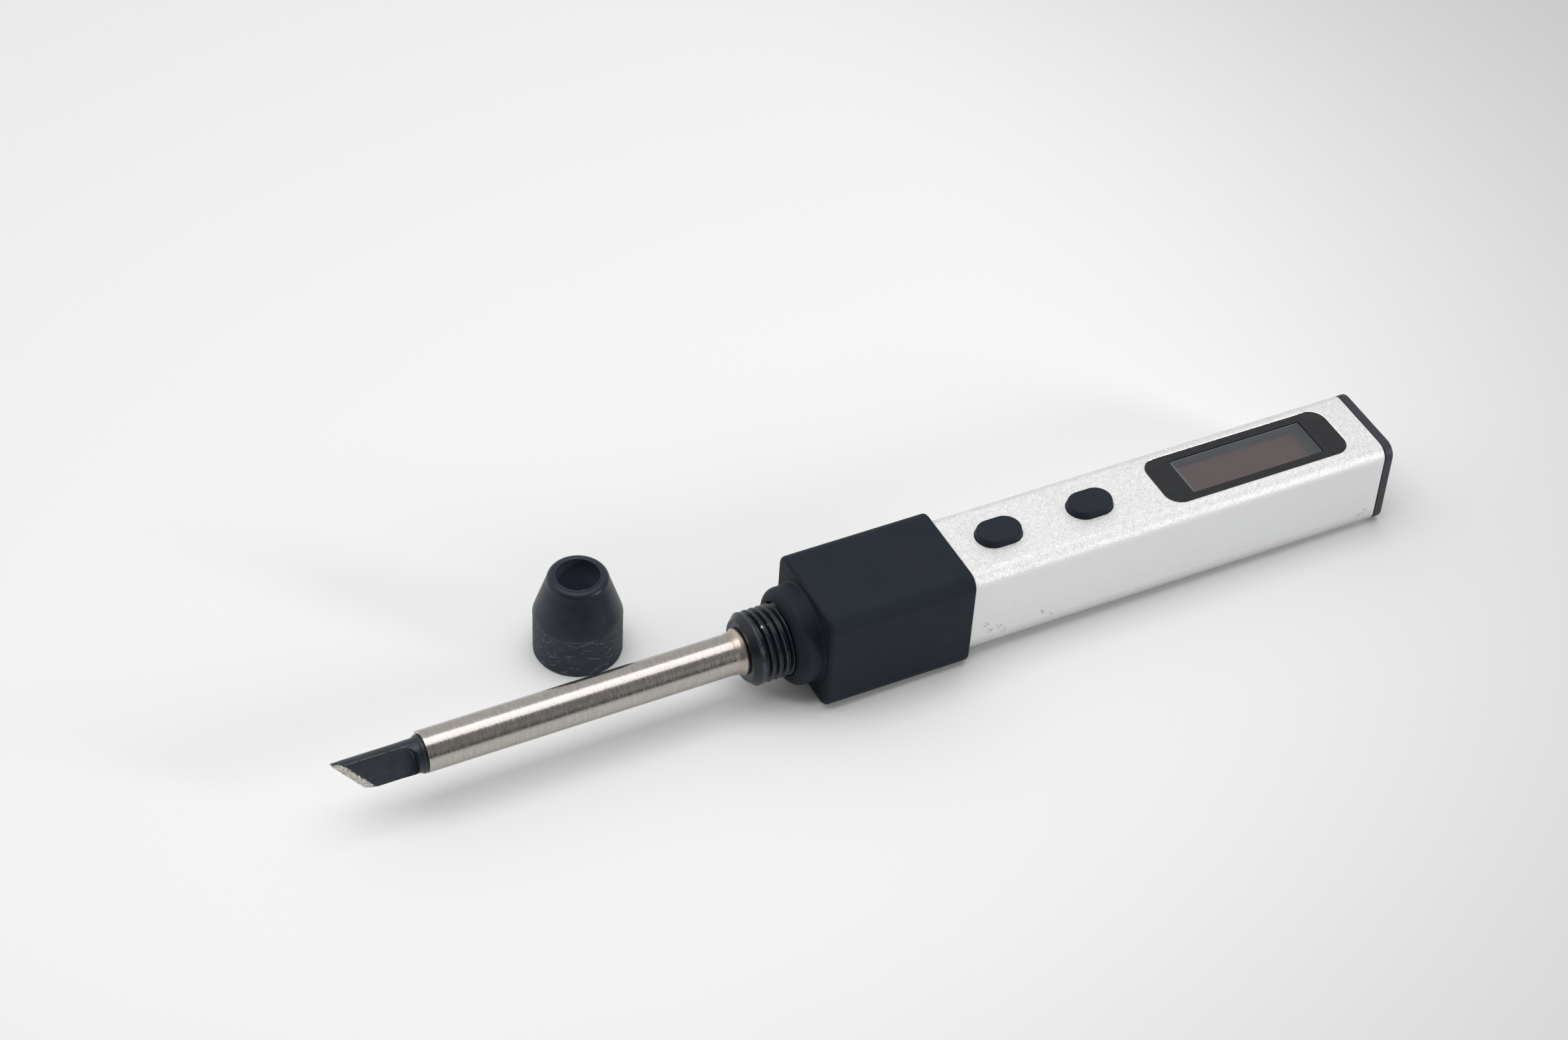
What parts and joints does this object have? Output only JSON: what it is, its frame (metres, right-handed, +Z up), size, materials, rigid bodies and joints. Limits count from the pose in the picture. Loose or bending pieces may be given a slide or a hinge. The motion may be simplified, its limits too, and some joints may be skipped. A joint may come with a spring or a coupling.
{
  "type": "pen soldering iron",
  "caption": "Slim square pen soldering iron with a display, buttons, a grip sleeve, a knife cartridge in a threaded nose and its loose retaining nut alongside.",
  "frame": {"origin": "middle of the whole object's bounding box, at the table it stands on", "axes": "+X along the pen from its tip towards the end cap, within 0.83 degree of its axis, +Y towards the loose nut's side, +Z up"},
  "size_m": [0.1513, 0.0304, 0.0156],
  "materials": {
    "bead_blasted_aluminium": "bead-blasted, clear anodised, sparkling grain",
    "black_plastic": "moulded, satin black",
    "screw_steel": "satin steel",
    "black_metal": "black anodised, satin",
    "contact_brass": "gold-plated strip",
    "board_green": "green solder mask",
    "chip_black": "moulded epoxy",
    "capacitor_tan": "fired ceramic",
    "switch_plunger": "moulded plastic",
    "display_black": "gloss black frame",
    "display_window": "clear pane with a smoky tint",
    "oled_glass": "dark brown-grey display panel, switched off",
    "flex_film": "amber polyimide film",
    "socket_steel": "drawn steel shell",
    "plated_iron": "blue-black satin plating with a tinned cutting bevel",
    "brushed_steel": "satin stainless tube, lightly brushed round",
    "ceramic": "white ceramic and heat-proof insulator",
    "black_silicone": "matte silicone, blue-black",
    "button_rubber": "matte silicone, blue-black"
  },
  "bodies": {
    "handle": {"housing": "bead_blasted_aluminium", "end_cap": "black_plastic", "cap_screw_near": "screw_steel", "cap_screw_far": "screw_steel", "threaded_nose": "black_metal", "nose_screw_near": "screw_steel", "nose_screw_far": "screw_steel", "contact_block": "black_plastic", "contact_clip_front": "contact_brass", "contact_clip_middle": "contact_brass", "contact_clip_end": "contact_brass", "board_carrier": "black_plastic", "circuit_board": "board_green", "controller_chip": "chip_black", "power_mosfet": "chip_black", "power_inductor": "chip_black", "usb_power_chip": "chip_black", "motion_sensor": "chip_black", "input_capacitor_near": "capacitor_tan", "input_capacitor_far": "capacitor_tan", "front_switch_body": "chip_black", "rear_switch_body": "chip_black", "display_bezel": "display_black", "display_lens": "display_window", "display_holder": "black_plastic", "oled_panel": "oled_glass", "oled_flex": "flex_film", "usb_socket_shell": "socket_steel", "usb_socket_tongue": "black_plastic"},
    "cartridge": {"knife_tip": "plated_iron", "cartridge_barrel": "brushed_steel", "heater_core": "ceramic", "cartridge_stem": "ceramic", "stem_ring_front": "contact_brass", "stem_ring_rear": "contact_brass", "stem_end_contact": "contact_brass"},
    "sleeve": {"silicone_sleeve": "black_silicone"},
    "nut": {"retaining_nut": "black_metal"},
    "front_button": {"front_button": "button_rubber", "front_switch_plunger": "switch_plunger"},
    "rear_button": {"rear_button": "button_rubber", "rear_switch_plunger": "switch_plunger"}
  },
  "joints": [
    {"name": "cartridge_pull", "type": "slide", "parent": "handle", "child": "cartridge", "axis": [-0.9999, 0, 0.0145], "range_m": [0, 0.03]},
    {"name": "sleeve_slide", "type": "slide", "parent": "handle", "child": "sleeve", "axis": [-0.9999, 0, 0.0145], "range_m": [0, 0.088]},
    {"name": "nut_lift", "type": "slide", "parent": "handle", "child": "nut", "axis": [0, 0, 1], "range_m": [0, 0.04]},
    {"name": "front_button_press", "type": "slide", "parent": "handle", "child": "front_button", "axis": [-0.0145, 0, -0.9999], "range_m": [0, 0.0003], "stiffness_N_per_m": 1000},
    {"name": "rear_button_press", "type": "slide", "parent": "handle", "child": "rear_button", "axis": [-0.0145, 0, -0.9999], "range_m": [0, 0.0003], "stiffness_N_per_m": 1000}
  ]
}
